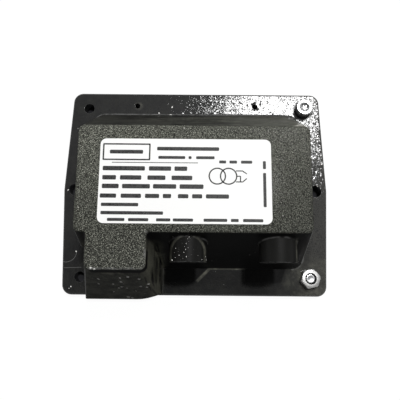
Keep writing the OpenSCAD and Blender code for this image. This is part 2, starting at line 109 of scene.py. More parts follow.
# %% Lamps
def lamp(name, direction, distance, share, shape, width, depth):
    """Adds an area lamp that points at the object and lights a level surface to a share of white."""
    place = Vector(direction).normalized() * distance
    slant = place.normalized().z
    light = bpy.data.lights.new(name, "AREA")
    light.shape = shape
    light.size = width
    light.size_y = depth
    light.energy = share * (pi * distance) ** 2 / slant
    rig = bpy.data.objects.new(name, light)
    rig.location = place
    rig.rotation_euler = place.to_track_quat("Z", "Y").to_euler()
    scene.collection.objects.link(rig)
    print(name, "power:", round(light.energy, 2), "W")


lamp("key_lamp", (0.146, 0.2, 1), 700 * mm, 0.5, "DISK", 35 * mm, 35 * mm)
lamp("rear_panel", (0.2245, 0.449, 1), 900 * mm, 0.34, "RECTANGLE", 190 * mm, 160 * mm)

# %% [markdown]
# The room is pale below, grey around and dim above. What the camera and mirror rays see is that
# picture, and everything else gets a plain weak fill, so that the backdrop never adds light.
#
# The room and every material are made of nodes. The helpers add them to one tree at a time, the one
# that was opened last, so that a formula in nodes reads like a formula.

# %% Helpers that add nodes
def plug(value, socket):
    """Links a node's result to a socket, or writes a plain value into it. A colour is solid."""
    if isinstance(value, bpy.types.NodeSocket):
        tree.links.new(value, socket)
    elif socket.type == "RGBA":
        socket.default_value = (*value, 1)
    else:
        socket.default_value = value


def add(kind, sockets=None, **settings):
    """Adds a node to the open tree, gives it its settings, and fills or links its sockets."""
    made = tree.nodes.new("ShaderNode" + kind)
    for name, value in settings.items():
        setattr(made, name, value)
    for name, value in (sockets or {}).items():
        plug(value, made.inputs[name])
    return made


def feed(made, **sockets):
    """Fills or links sockets of a node. Their names are written with _ for each space."""
    for label, value in sockets.items():
        plug(value, made.inputs[label.replace("_", " ")])


print("helpers for nodes: plug, add, feed")

# %% Helpers that calculate
def maths(operation, *values):
    """The result of a Math node."""
    return add("Math", dict(enumerate(values)), operation=operation).outputs[0]


def linear(value, factor, start):
    """A value times a factor, plus a start."""
    return maths("MULTIPLY_ADD", value, factor, start)


def minus(first, second):
    """The first value without the second."""
    return maths("SUBTRACT", first, second)


def times(first, *others):
    """The product of all the values."""
    for other in others:
        first = maths("MULTIPLY", first, other)
    return first


def most(first, *others):
    """The largest of the values."""
    for other in others:
        first = maths("MAXIMUM", first, other)
    return first


def mix(factor, first, second):
    """A number between two numbers."""
    return add("Mix", {0: factor, 2: first, 3: second}).outputs[0]


def between(value, low, high, first=0.0, second=1.0, curve="SMOOTHSTEP"):
    """Goes from first to second as a value goes from low to high."""
    sockets = {"Value": value, "From Min": low, "From Max": high, "To Min": first, "To Max": second}
    return add("MapRange", sockets, interpolation_type=curve).outputs[0]


print("helpers for sums: linear, minus, times, most, mix, between")

# %% Room
fill = 0.18
haze = 0.27
ceiling = 0.03
low_band = 0.3, 0.7
high_band = 0.93, 0.985

world = bpy.data.worlds.new("room")
world.use_nodes = True
scene.world = world
tree = world.node_tree
tree.nodes.clear()
rays = add("LightPath").outputs
seen = most(rays["Is Camera Ray"], rays["Is Glossy Ray"], rays["Is Transmission Ray"])
height = add("SeparateXYZ", {0: add("TexCoord").outputs["Generated"]}).outputs["Z"]
backdrop = between(height, *low_band, 1.0, haze)
backdrop = between(height, *high_band, backdrop, ceiling)
sky = add("Background", {"Color": (1, 1, 1), "Strength": mix(seen, fill, backdrop)})
add("OutputWorld", {"Surface": sky.outputs[0]})
print("fill light:", fill)

# %% Helpers for the staging
def opened(name, **plain):
    """Opens the nodes of a new material, and returns its shader with plain values on it."""
    global tree
    made = bpy.data.materials.new(name)
    made.use_nodes = True
    tree = made.node_tree
    shader = tree.nodes["Principled BSDF"]
    feed(shader, **plain)
    return shader


def placed(bm, name, material):
    """Turns a bmesh into an object with a material."""
    mesh = bpy.data.meshes.new(name)
    bm.to_mesh(mesh)
    bm.free()
    mesh.materials.append(bpy.data.materials[material])
    made = bpy.data.objects.new(name, mesh)
    scene.collection.objects.link(made)
    return made


print("helpers for staging: opened, placed")

# %% Floor
floor_radius = 2.5
floor_drop = 0.1 * mm
floor_white = 0.96
mirrored_share = 0.05

shader = opened("paper", Base_Color=(0.06, 0.06, 0.06), Roughness=0.9, Specular_IOR_Level=0,
                Emission_Color=(1, 1, 1))
rays = add("LightPath").outputs
seen = linear(rays["Is Glossy Ray"], mirrored_share, rays["Is Camera Ray"])
seen = most(seen, rays["Is Transmission Ray"])
feed(shader, Emission_Strength=times(seen, floor_white))

bm = bmesh.new()
bmesh.ops.create_circle(bm, cap_ends=True, radius=floor_radius, segments=64,
                        matrix=Matrix.Translation((0, 0, -floor_drop)))
floor = placed(bm, "floor", "paper")
print("floor radius:", floor_radius, "m")

# %% [markdown]
# All the flange's holes look dark in the photograph, so hardly any light gets under the part. A dark card
# between the part and the paper paints that shade, and the flange hides its edges.

# %% Painted shade card under the flange
card_outline = [(54.6, 0), (52.8, 38), (49, 42.3), (-49, 42.3), (-52.8, 38), (-54.6, 0), (-52.8, -38),
                (-49, -42.3), (49, -42.3), (52.8, -38)]
card_drop = 0.05 * mm

opened("dark_card", Base_Color=(0.03, 0.03, 0.033), Roughness=0.9, Specular_IOR_Level=0)
bm = bmesh.new()
bm.faces.new([bm.verts.new((x * mm, y * mm, -card_drop)) for x, y in card_outline])
shade_card = placed(bm, "shade_card", "dark_card")
print("card corners:", len(card_outline))

# %% [markdown]
# ## Effects that several materials share
#
# A surface looks real when it carries traces of how it was made and used. Each trace is built once,
# as a group of nodes with named inputs, and every material then uses it with its own numbers. All
# of them work in metres on the object's own coordinates, so a size is a real size.

# %% Helpers for groups and patterns
def group(name, outputs, **inputs):
    """Opens a new node group. Returns each of its inputs, and then the sockets of its results."""
    global tree
    tree = bpy.data.node_groups.new(name, "ShaderNodeTree")
    for label, value in inputs.items():
        kind = "NodeSocketVector" if label == "Vector" else "NodeSocketFloat"
        socket = tree.interface.new_socket(name=label, in_out="INPUT", socket_type=kind)
        socket.default_value = value
    for label in outputs:
        tree.interface.new_socket(name=label, in_out="OUTPUT", socket_type="NodeSocketFloat")
    print("group", name, "in:", ", ".join(inputs), "out:", ", ".join(outputs))
    given = list(tree.nodes.new("NodeGroupInput").outputs)[:len(inputs)]
    return *given, tree.nodes.new("NodeGroupOutput").inputs


def noise(place, size, detail=2.0, roughness=0.5, output="Fac"):
    """Cloudy noise with waves of a size."""
    sockets = {"Vector": place, "Scale": maths("DIVIDE", 1.0, size), "Detail": detail}
    return add("TexNoise", {**sockets, "Roughness": roughness}).outputs[output]


def cells(place, size):
    """The outputs of a Voronoi pattern with cells of a size."""
    return add("TexVoronoi", {"Vector": place, "Scale": maths("DIVIDE", 1.0, size)}).outputs


def distance(value, other):
    """How far a number is from another one."""
    return maths("ABSOLUTE", minus(value, other))


origin = (0, 0, 0)

# %% [markdown]
# **Grain.** A mould is often spark-eroded, which leaves a fine rough skin. Noise and a pattern of
# cells give the height, and its highest points are picked out as sparkle.

# %% Group: grain
place, size, result = group("grain", ("Height", "Sparkle"), Vector=origin, Size=0.5 * mm)
height = linear(cells(place, size)["Distance"], -0.5, noise(place, size, 3.0, 0.6))
plug(maths("ADD", height, 0.5), result["Height"])
plug(between(height, 0.34, 0.5), result["Sparkle"])

# %% [markdown]
# **Specks.** Dust and chips are small spots of random size with bare places between them. A Voronoi
# pattern gives one spot for each cell, and the cell's random colour decides whether it is there.

# %% Group: specks
place, spacing, amount, result = group("specks", ("Mask",), Vector=origin, Spacing=2 * mm, Amount=0.2)
cell = cells(place, spacing)
chance = add("SeparateColor", {0: cell["Color"]}).outputs
there = maths("LESS_THAN", chance[0], amount)
reach = linear(chance[1], 0.16, 0.06)
spot = between(cell["Distance"], times(reach, 0.5), reach, 1.0, 0.0, "LINEAR")
plug(times(spot, there), result["Mask"])

# %% [markdown]
# **Smudges.** Hands and storage leave soft uneven patches, which change the gloss more than the
# colour.

# %% Group: smudges
place, size, result = group("smudges", ("Mask",), Vector=origin, Size=10 * mm)
plug(between(noise(place, size, 5.0, 0.62), 0.36, 0.66), result["Mask"])

# %% [markdown]
# **Scuffs.** Fine scratches lie mostly one way. Noise that is stretched along one direction passes
# its middle value along thin lines, and a second noise breaks them up.

# %% Group: scuffs
place, size, angle, width, result = group("scuffs", ("Mask",), Vector=origin, Size=6 * mm, Turn=0.0,
                                          Width=0.02)
across = add("VectorRotate", {"Vector": place, "Angle": angle}, rotation_type="Z_AXIS").outputs[0]
stretched = add("VectorMath", {0: across, 1: (1, 14, 1)}, operation="MULTIPLY").outputs[0]
line = between(distance(noise(stretched, size), 0.5), 0.0, width, 1.0, 0.0, "LINEAR")
plug(times(line, between(noise(place, size), 0.5, 0.62)), result["Mask"])

# %% [markdown]
# **Ridges.** Turns of wire and stacked steel sheets repeat at an even pitch along one axis.

# %% Group: ridges
along, pitch, result = group("ridges", ("Height", "Groove"), Along=0.0, Pitch=0.5 * mm)
half = times(pitch, 0.5)
rise = maths("DIVIDE", maths("PINGPONG", along, half), half)
hollow = maths("POWER", minus(1.0, rise), 2.0)
plug(maths("SQRT", minus(1.0, hollow)), result["Height"])
plug(between(rise, 0.0, 0.35, 1.0, 0.0), result["Groove"])

# %% [markdown]
# ## Materials
#
# Each material is one Principled shader. Numbers that are the same all over, such as the index of
# refraction, are set on the shader itself, and what changes over the surface comes from the groups.

# %% Helpers for materials
def material(name, **plain):
    """Opens a new material with plain values. Returns its shader and the object's coordinates."""
    return opened(name, **plain), add("TexCoord").outputs["Object"]


def trace(name, place, **sockets):
    """The outputs of a group. Its first input gets the place, and the others their own values."""
    made = add("Group", {0: place}, node_tree=bpy.data.node_groups[name])
    feed(made, **sockets)
    return made.outputs


def attribute(name):
    """What a piece's own attribute says at each place."""
    return add("Attribute", None, attribute_name=name).outputs["Fac"]


def bump(height, depth, normal=None):
    """A normal that is tilted by a height from 0 to 1, of a depth in metres."""
    sockets = {"Height": height, "Distance": depth, "Strength": 1.0}
    if normal is not None:
        sockets["Normal"] = normal
    return add("Bump", sockets).outputs[0]


def layered(colour, *layers):
    """Lays colours over a colour one by one, each with its own mask."""
    for mask, over in layers:
        colour = add("Mix", {0: mask, 6: colour, 7: over}, data_type="RGBA").outputs[2]
    return colour


print("material helpers are ready")

# %% [markdown]
# **Black moulding.** The top of the hood has the mould's spark-eroded grain, which looks a warm dark
# grey with light and dark points. The flange and the tubes are polished and nearly black, and the
# gloss over them is uneven, so that a lamp in it breaks into flecks. The rear wall and the connector
# block are dull with settled dust, and single chips and scratches show white. One material holds all
# of it: heights and places tell the kinds of surface apart, and each effect is laid over the last.
#
# Chips and stains have places of their own. They are given as seen from straight above, and a ray
# that is dropped there finds their height. Edges rub first: an attribute says where the edges are,
# and noise breaks the rubbed line up.

# %% Places on the moulding
# These are in millimetres, as the helpers past and before take them.
ground = 5.5
block_right = -11.5
block_rear = -23
hood_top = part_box("housing")[1].z / mm
flange_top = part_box("hex_nut")[0].z / mm

# These are in metres, like the coordinates in the nodes.
left_tube = sum(corner.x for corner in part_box("left_hv_contact")) / 2
right_tube = sum(corner.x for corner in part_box("right_hv_contact")) / 2

surface = bmesh.new()
surface.from_mesh(frame["nodes"]["housing"].data)
skin = BVHTree.FromBMesh(surface)
surface.free()


def on_skin(x, y):
    """The point of the moulding straight below a place given in millimetres."""
    return skin.ray_cast(Vector((x, y, 200)) * mm, Vector((0, 0, -1)))[0]


print("flange top:", round(flange_top, 1), "mm, hood top:", round(on_skin(0, 20).z / mm, 1), "mm")

# %% Helpers that measure places
def past(value, low, high, first=0.0, second=1.0):
    """Goes from first to second as a value passes two distances given in millimetres."""
    return between(value, low * mm, high * mm, first, second)


def before(value, low, high):
    """1 up to the lower distance and 0 beyond the higher one, both given in millimetres."""
    return past(value, low, high, 1.0, 0.0)


def vectors(operation, *values):
    """The result of a Vector Math node, a number for distances, lengths and dot products."""
    made = add("VectorMath", dict(enumerate(values)), operation=operation)
    return made.outputs[1 if operation in ("DISTANCE", "LENGTH", "DOT_PRODUCT") else 0]


def scaled(vector, factor):
    """A vector or colour times a number."""
    return add("VectorMath", {0: vector, "Scale": factor}, operation="SCALE").outputs[0]


def shifted(vector, colour, size):
    """A vector that a random colour moves by up to half of a size in each direction."""
    centred = vectors("ADD", colour, Vector((-0.5, -0.5, -0.5)))
    return vectors("ADD", scaled(centred, size), vector)


def away(place, x, y):
    """The distance from a point on the flange, given in millimetres."""
    return vectors("DISTANCE", place, Vector((x, y, ground)) * mm)


print("measuring helpers are ready")

# %% Helpers for single marks
def chips(place, spots):
    """A mask of small spots, longer up a wall. Each is its place from above and its radius."""
    flatten = Vector((1, 1, 0.45))
    place = vectors("MULTIPLY", place, flatten)
    mask = 0.0
    for x, y, radius in spots:
        from_spot = vectors("DISTANCE", place, on_skin(x, y) * flatten)
        mask = most(mask, before(from_spot, radius * 0.7, radius))
    return mask


def seam(place, start, end, width):
    """A mask of a thin upright line between two points. One without a height is on the flange."""
    start, end = (Vector((*point, ground)[:3]) * mm for point in (start, end))
    run = end - start
    side = Vector((run.y, -run.x, 0)).normalized()
    offset = vectors("SUBTRACT", place, start)
    across = maths("ABSOLUTE", vectors("DOT_PRODUCT", offset, side))
    along = vectors("DOT_PRODUCT", offset, run / run.length_squared)
    ends = times(between(along, -0.02, 0.04), between(along, 0.9, 1.03, 1.0, 0.0))
    return times(before(across, width * 0.4, width), ends)


def painted_shadow_under(place, left, right, low_right, shadow_right):
    """A mask of the painted shadow below an outlet. It is weaker where the outlet's own shadow falls too.
    """
    patch_rear, patch_length = -31 * mm, 7
    x, y, z = add("SeparateXYZ", {0: place}).outputs
    down = minus(patch_rear, y)
    lean = linear(down, (right - low_right) / patch_length, x)
    sides = times(past(x, left - 0.3, left + 0.3), before(lean, right - 0.4, right + 0.4))
    ends = times(before(down, 6.2, 7.4), past(down, -1.5, -1))
    shaded = past(x, shadow_right - 1, shadow_right + 0.6, 0.5, 0.96)
    return times(sides, ends, before(z, 7, 9), shaded)


print("helpers for single marks are ready")

# %% Colours of the moulding
# The deepest black is the walls' own colour, and also the colour of the painted shade and shadows.
black_and_painted_shade = (0.003, 0.003, 0.003)
tube_black = (0.008, 0.008, 0.0075)
flange_black = (0.0075, 0.0077, 0.0078)
end_black = (0.02, 0.02, 0.0195)
grained_grey = (0.085, 0.087, 0.0735)
dull_grey = (0.055, 0.056, 0.047)
smudge_grey = (0.06, 0.06, 0.058)
worn_and_highlight_grey = (0.3, 0.3, 0.295)
bend_dust = (0.105, 0.105, 0.082)
dust_and_highlight_tan = (0.2, 0.198, 0.16)
dust_and_glint_light = (0.42, 0.41, 0.36)
dust_white = (0.75, 0.74, 0.7)
chip_white = (0.95, 0.94, 0.9)
print("the grain is", round(grained_grey[0] / flange_black[0]), "times as bright as the flange")

# %% Places of chips and stains
block_chips = [(-32.1, -36.5, 0.5), (-28.3, -38.3, 0.45), (-24.6, -36.1, 0.45), (-25.1, -37.5, 0.5),
               (-25.9, -39.3, 0.45), (-27.1, -39.8, 0.4), (-24.2, -39.8, 0.35), (-21.7, -35.7, 0.55),
               (-18.3, -36.4, 0.5), (-19.0, -39.1, 0.5), (-16.1, -38.2, 0.6), (-17.0, -39.4, 0.45),
               (-25.7, -43.6, 0.8), (-24.4, -43.9, 0.5), (-32.3, -33.0, 0.36), (-31.2, -33.3, 0.28),
               (-33.4, -38.2, 0.35), (-30.0, -41.3, 0.4), (-21.5, -41.0, 0.35)]
tube_chips = [(-1.4, -22.6, 0.17), (-1.9, -23.2, 0.11), (-1.0, -23.1, 0.10), (-1.5, -24.0, 0.10),
              (-2.4, -24.8, 0.10), (-1.1, -25.1, 0.09), (-2.8, -25.8, 0.12), (-2.5, -26.7, 0.12),
              (-3.1, -27.6, 0.13), (-1.7, -26.1, 0.09), (-5.7, -26.3, 0.10), (-5.0, -27.1, 0.09),
              (-6.2, -27.7, 0.11), (-4.6, -28.4, 0.10), (-6.9, -30.0, 0.17), (-5.9, -29.3, 0.09),
              (-2.2, -29.0, 0.09), (1.7, -28.4, 0.09), (2.9, -29.9, 0.12), (4.2, -28.9, 0.19),
              (4.4, -29.8, 0.19)]
flange_chips = [(-10.5, 37.0, 0.42), (-10.9, 33.4, 0.36), (-16.1, 34.2, 0.32), (-49.7, -40.0, 0.3),
                (-50.4, -40.6, 0.2), (-48.4, -25.8, 0.26), (-53.4, -0.3, 0.32)]
stains = [(-28.8, -34.4, 1.3), (-26.9, -34.6, 1.5), (-23.4, -34.6, 1.2), (-13.4, -27.5, 1.6)]
worn = [(24.5, 38.5, 0.8), (26.6, 36.3, 0.8), (25.5, 39.1, 0.7), (25.4, 35.9, 0.7), (33.4, 34.2, 0.5)]
print("chips:", len(block_chips + tube_chips + flange_chips), "stains:", len(stains))

# %% Black moulding: kinds of surface
shader, place = material("black_moulding", IOR=1.5, Specular_IOR_Level=0.07, Coat_IOR=1.6,
                         Coat_Roughness=0.05)
x, y, z = add("SeparateXYZ", {0: place}).outputs
top = past(z, hood_top - 0.9, hood_top - 0.2)
flat = before(z, flange_top + 0.1, flange_top + 0.9)
rear = past(y, 13, 15)
block = times(before(x, block_right - 0.5, block_right + 2.5),
              before(y, block_rear - 2, block_rear))
wall = minus(1.0, most(top, flat))
dull = times(wall, most(rear, block))
print("kinds of surface: top, flat, rear, block, wall, dull")

# %% Black moulding: traces
grain = trace("grain", place, Size=0.29 * mm)
peel = trace("grain", place, Size=0.8 * mm)["Height"]
smudge = trace("smudges", place, Size=16 * mm)["Mask"]
cloud = trace("smudges", place, Size=3.5 * mm)["Mask"]
scuff = trace("scuffs", place, Size=9 * mm, Turn=0.5, Width=0.012)["Mask"]
streak = trace("scuffs", place, Size=16 * mm, Turn=1.5, Width=0.2)["Mask"]
dust = trace("specks", place, Spacing=1.7 * mm, Amount=0.07)["Mask"]
crumbs = trace("specks", place, Spacing=1.9 * mm, Amount=0.22)["Mask"]
freckles = trace("specks", place, Spacing=0.6 * mm, Amount=0.5)["Mask"]
pinholes = trace("specks", place, Spacing=0.8 * mm, Amount=0.9)["Mask"]
rubbed = times(between(noise(place, 2 * mm, 3.0), 0.36, 0.56, curve="LINEAR"), attribute("edge"))
grit = between(grain["Height"], 0.5, 0.8, 0.5, 1.7)
print("traces on the moulding: 11")

# %% [markdown]
# Single marks follow the larger ones of the photograph: chips with ragged rims, painted highlights along
# the block's and the hood's corners, a straight scratch and a hooked one on the left of the flange, and
# dust that stayed on both sides of the tubes and where the block meets the hood.

# %% Black moulding: single marks
ragged = shifted(place, noise(place, 0.5 * mm, 1.0, output="Color"), 0.9 * mm)
spots = chips(ragged, block_chips + tube_chips + flange_chips)
stained = chips(ragged, stains)
# The corner lines are painted highlights, laid in the same grey as the rubbed edges.
corners = most(seam(place, (-43.1, -30.4), (-38.4, -20.4, 43.5), 0.35),
               seam(place, (43.5, -29.8), (38.6, -20.2, 43.5), 0.5),
               seam(place, (-43.3, -44.6), (-34.6, -33.2, 43), 0.4))
corners = times(corners, before(y, -19.5, -18.5), wall)
hook_radius = 4.25 * mm
hook = before(distance(away(place, -52.45, -25.9), hook_radius), 0.06, 0.18)
hook = times(hook, before(y, -25.7, -25.3))
scratch = times(most(seam(place, (-53.2, -32.5), (-45.6, -32.2), 0.16), hook), flat)
print("seams: 3, scratches: 2")

# %% Black moulding: dust beside the tubes
tube_middle = -27.6 * mm
tube_radius = 5.7 * mm
block_end = -12.5 * mm
aside = maths("MINIMUM", distance(x, left_tube), distance(x, right_tube))
tube = times(before(aside, 6.6, 7), past(z, 26, 28), before(y, -22.8, -22.2), wall)
behind = most(minus(y, tube_middle), 0.0)
reach = vectors("LENGTH", add("CombineXYZ", {"X": aside, "Y": behind}).outputs[0])
reach = mix(past(x, 9, 10), reach, minus(x, right_tube))
flank = times(tube, before(distance(reach, tube_radius), 0.15, 0.6))
tube = minus(tube, times(tube, past(reach, 6.2, 6.8)))
seat = times(before(distance(x, block_end), 0.3, 1.1), before(z, 6, 16),
             before(y, -31.5, -31), past(y, -40, -36))
print("dust lies", round(tube_radius / mm, 1), "mm from the middle of a tube")

# %% [markdown]
# The colours come first: the grain's light and dark points on the top, black below it, and uneven grey dust
# on the dull walls, which is streaked along the rear wall. A painted sheen makes the dull walls brighter to
# the right.

# %% Black moulding: colours of its surfaces
sparkle = past(maths("ADD", y, x), -60, 50, 8.0, 3.5)
pits = linear(grain["Sparkle"], sparkle, between(grain["Height"], 0.54, 0.8, 0.1, 1.0))
pits = times(pits, past(y, -20, 14, 0.64, 1.04))
ends = past(maths("ABSOLUTE", x), 34, 41)

patchy = mix(block, linear(streak, 0.3, linear(cloud, 0.45, 0.35)), linear(cloud, 1.0, 0.55))
patchy = times(patchy, grit, past(z, 8, 20, 0.65, 1.0))
stretched = vectors("MULTIPLY", place, (0.3, 1, 1))
streaky = between(noise(stretched, 6 * mm, 3.0), 0.44, 0.56, 0.35, 1.2)
even = most(past(x, 4, 22), before(x, -36, -26), block)
# Painted sheen: the dull walls' grey rises towards the right, where the rear panel's reflection falls, and
# on the rear wall it is also streaked like dust.
streaks_and_sheen = times(past(x, -12, 34, 0.66, 2.15), mix(even, streaky, 1.0))

colour = layered(black_and_painted_shade, (tube, tube_black), (ends, end_black), (flat, flange_black),
                 (top, scaled(grained_grey, pits)),
                 (dull, scaled(dull_grey, times(patchy, streaks_and_sheen))))
print("colours laid for the surfaces: 6")

# %% Black moulding: smudges, painted highlights and the bend
bend = times(past(x, -18.5, -15.5), before(x, -12.3, -11.9), block, wall)
upright = vectors("MULTIPLY", place, (1, 0.06, 0.06))
runs = times(between(noise(upright, 0.9 * mm, 4.0), 0.36, 0.64), grit)
run_dust = layered(black_and_painted_shade, (runs, bend_dust))
# The glint is a painted highlight on the rear right corner of the hood, in the light dust colour.
glint = times(past(linear(z, 0.6, x), 58.4, 59.6), rear, wall)
film = times(between(grain["Height"], 0.55, 0.8), flat, past(x, 44, 49))

colour = layered(colour, (times(smudge, 0.03), smudge_grey), (times(flat, cloud, 0.03), dust_and_highlight_tan),
                 (times(rubbed, 0.2), worn_and_highlight_grey), (bend, run_dust), (times(glint, 0.8), dust_and_glint_light),
                 (most(corners, times(scratch, 0.35)), worn_and_highlight_grey), (times(film, 0.07), dust_and_glint_light))
print("layers over them: 7")

# %% Black moulding: dust, chips and a painted highlight at the foot
ring = times(before(away(ragged, -25, 37.3), 1.1, 2.4), flat, grit)
# The foot line between the tubes and along the right side of the left outlet's shadow is partly dust and
# partly a painted highlight, laid where the fillet is lit.
foot_dust_and_highlight = times(most(seam(place, (5.4, -32.2), (21.2, -32.2), 0.7),
                  seam(place, (6.4, -32.1), (0.9, -37.6), 0.8)), flat)
near_nut = times(past(x, 32, 44), before(y, -34, -24), flat, smudge)
settled_dust_and_highlight = most(times(flank, 0.4), times(seat, 0.6), times(stained, 0.6), times(ring, 0.26),
               times(foot_dust_and_highlight, 0.7), times(near_nut, 0.3))
crown = past(distance(x, left_tube), 2, 6, 0.35, 0.08)
lumps = times(crumbs, 0.2, block, wall)

colour = layered(colour, (times(settled_dust_and_highlight, most(cloud, 0.4)), dust_and_highlight_tan), (times(dust, 0.3), dust_white),
                 (times(freckles, crown, tube), worn_and_highlight_grey), (most(lumps, spots), chip_white),
                 (times(scuff, flat, 0.04), worn_and_highlight_grey))
print("layers of dust and chips: 5")

# %% [markdown]
# The block's front and right rims are rubbed and carry a painted highlight, with a line of painted shade
# below them. On the flange below each outlet the photograph is darker than the outlet's shadow makes it,
# with a slanted right end. A painted shadow darkens the colour there, so it is laid on last, and least
# where the rendered shadow falls already.

# %% Black moulding: rims, painted shade and painted shadow
# The block's rims are partly rubbed and partly a painted highlight along the rounded top edge.
front_rim = times(before(y, -33.0, -32.6), past(x, -33.6, -32.6))
right_rim = times(past(x, -15.9, -15.4), before(y, -28, -26))
rim_wear_and_highlight = times(most(front_rim, right_rim), block)
# The dark line just below the rims is painted shade under the lip.
painted_shade_line = times(rim_wear_and_highlight, before(z, 42.5, 42.9), past(z, 39.6, 40.3))
rim_wear_and_highlight = times(rim_wear_and_highlight, past(z, 42.7, 43.0), cloud)
painted_shadow = most(painted_shadow_under(place, -12.1, 6.6, -0.5, 0.3), painted_shadow_under(place, 20.6, 37.5, 34.9, 32.3))

colour = layered(colour, (times(rim_wear_and_highlight, 0.5), worn_and_highlight_grey), (painted_shade_line, black_and_painted_shade), (painted_shadow, black_and_painted_shade))
print("dark patches: 2")

# %% [markdown]
# A clear coat gives the polished flange its mirror, and chips, pinholes and dirt take it away. The
# bright flecks at the rear right come from facets: each small cell of the coat is tilted its own
# way, so some of them mirror the panel and their neighbours don't.

# %% Black moulding: gloss
gloss = linear(smudge, 0.1, mix(top, 0.42, 0.6))
rear_corner = times(dull, past(x, 36.5, 38.5, 0.0, 0.5))
coat = most(linear(top, -0.01, 0.03), flat, rear_corner)
round_screw = past(away(ragged, 46.4, 36), 3.7, 5, 0.85, 0.0)
nicks = most(pinholes, chips(ragged, worn),
             seam(place, (28.2, 40.4), (27.9, 37.6), 0.4),
             times(round_screw, between(grain["Height"], 0.45, 0.6)))
coat = times(coat, minus(1.0, most(spots, nicks, painted_shadow, painted_shade_line)))
print("worn places on the coat:", len(worn))

# %% Black moulding: relief and flecks
facing_up = Vector((0, 0.15, 0.99))
facet_size = 0.43 * mm
normal = bump(peel, mix(flat, 0.02 * mm, 0.04 * mm))
normal = bump(grain["Height"], linear(top, 0.08 * mm, 0.004 * mm), normal)
raised = add("Mix", {0: most(spots, lumps), 4: normal, 5: facing_up}, data_type="VECTOR").outputs[1]

wave = bump(noise(place, 0.8 * mm, 3.0, 0.6), 0.04 * mm)
facet = cells(place, facet_size)["Color"]
steep = maths("POWER", add("SeparateColor", {0: facet}).outputs[2], 3.0)
tilt = times(linear(steep, 0.16, 0.05), flat, past(y, -12, 4))
flecked = vectors("NORMALIZE", shifted(wave, facet, tilt))
feed(shader, Base_Color=colour, Roughness=gloss, Coat_Weight=coat,
     Normal=vectors("NORMALIZE", raised), Coat_Normal=flecked)
print("facets:", round(facet_size / mm, 2), "mm wide")

# %% [markdown]
# **Resin.** It was poured in from below and set level, dark brown and fairly glossy, with a slow
# ripple and a few trapped bubbles.

# %% Material: potting resin
shader, place = material("potting_resin", IOR=1.54)
ripple = trace("smudges", place, Size=14 * mm)["Mask"]
bubble = trace("specks", place, Spacing=4 * mm, Amount=0.3)["Mask"]
colour = layered((0.016, 0.012, 0.009), (ripple, (0.03, 0.024, 0.018)),
                 (bubble, (0.006, 0.005, 0.004)))
feed(shader, Base_Color=colour, Roughness=linear(ripple, 0.16, 0.2),
     Normal=bump(minus(ripple, bubble), 0.15 * mm))
print("resin is ready")

# %% [markdown]
# **Label.** White film with a soft sheen. It is a little yellowed, and thin dirt lies on it. The ink
# is black and has worn to a dark grey in places.

# %% Materials: label film and ink
shader, place = material("label_film", IOR=1.48, Roughness=0.42)
soil = trace("smudges", place, Size=7 * mm)["Mask"]
fleck = trace("specks", place, Spacing=2.6 * mm, Amount=0.12)["Mask"]
colour = layered((0.93, 0.93, 0.92), (times(soil, 0.5), (0.86, 0.86, 0.83)),
                 (times(fleck, 0.3), (0.35, 0.34, 0.3)))
feed(shader, Base_Color=colour, Normal=bump(soil, 0.02 * mm))

shader, place = material("label_ink", IOR=1.5, Specular_IOR_Level=0.2)
thin = trace("grain", place, Size=0.7 * mm)["Height"]
colour = layered((0.008, 0.008, 0.009), (between(thin, 0.5, 0.85), (0.04, 0.04, 0.039)))
feed(shader, Base_Color=colour, Roughness=linear(thin, 0.2, 0.35))
print("label film and ink are ready")

# %% [markdown]
# ** Metals.** Zinc plating is bright and slightly blue with fine scuffs and dull patches, and the nut's is satin. Tin on the blades is softer and a little warmer, and brass is yellow. An attribute of the rings in threads and sockets paints old dirt and shade there, which darkens and dulls the metal.

# %% Material maker: plated metal
def plated(name, colour, dull, roughness, grit=0.3 * mm):
    """A metal with cloudy patches, fine scuffs and a slight unevenness."""
    shader, place = material(name, Metallic=1.0)
    cloud = trace("smudges", place, Size=2.5 * mm)["Mask"]
    mark = trace("scuffs", place, Size=1.5 * mm, Turn=0.9, Width=0.03)["Mask"]
    skin = trace("grain", place, Size=grit)["Height"]
    dirt_and_shade = attribute("dirt_and_shade")
    colour = layered(colour, (cloud, dull), (times(dirt_and_shade, 0.97), (0.01, 0.01, 0.01)),
                     (times(mark, 0.35), dull))
    gloss = linear(cloud, 0.14, linear(dirt_and_shade, 0.4, roughness))
    feed(shader, Base_Color=colour, Roughness=linear(mark, 0.15, gloss),
         Normal=bump(minus(skin, mark), 0.008 * mm))


plated("zinc_plate", (0.78, 0.79, 0.8), (0.52, 0.53, 0.53), 0.2)
plated("satin_zinc", (0.5, 0.5, 0.49), (0.38, 0.38, 0.375), 0.37)
plated("tinned_brass", (0.8, 0.79, 0.75), (0.62, 0.6, 0.55), 0.26, 0.4 * mm)
plated("turned_brass", (0.78, 0.58, 0.27), (0.52, 0.36, 0.15), 0.24)
print("metals are ready")

# %% [markdown]
# **Insulation and fillers.** Cable insulation, nylon bobbins, the blade carrier and the pressboard
# spacer are all coloured plastics or paper. They differ in colour, gloss and the size of their
# grain, so one maker serves them all.

# %% Material maker: plain plastic
def plastic(name, colour, shade, roughness=0.35, grit=0.5 * mm, depth=0.01 * mm):
    """A plastic whose colour drifts to a second shade, with a fine grain."""
    shader, place = material(name, IOR=1.5)
    drift = trace("smudges", place, Size=5 * mm)["Mask"]
    skin = trace("grain", place, Size=grit)["Height"]
    feed(shader, Base_Color=layered(colour, (drift, shade)), Roughness=linear(skin, 0.12, roughness),
         Normal=bump(skin, depth))


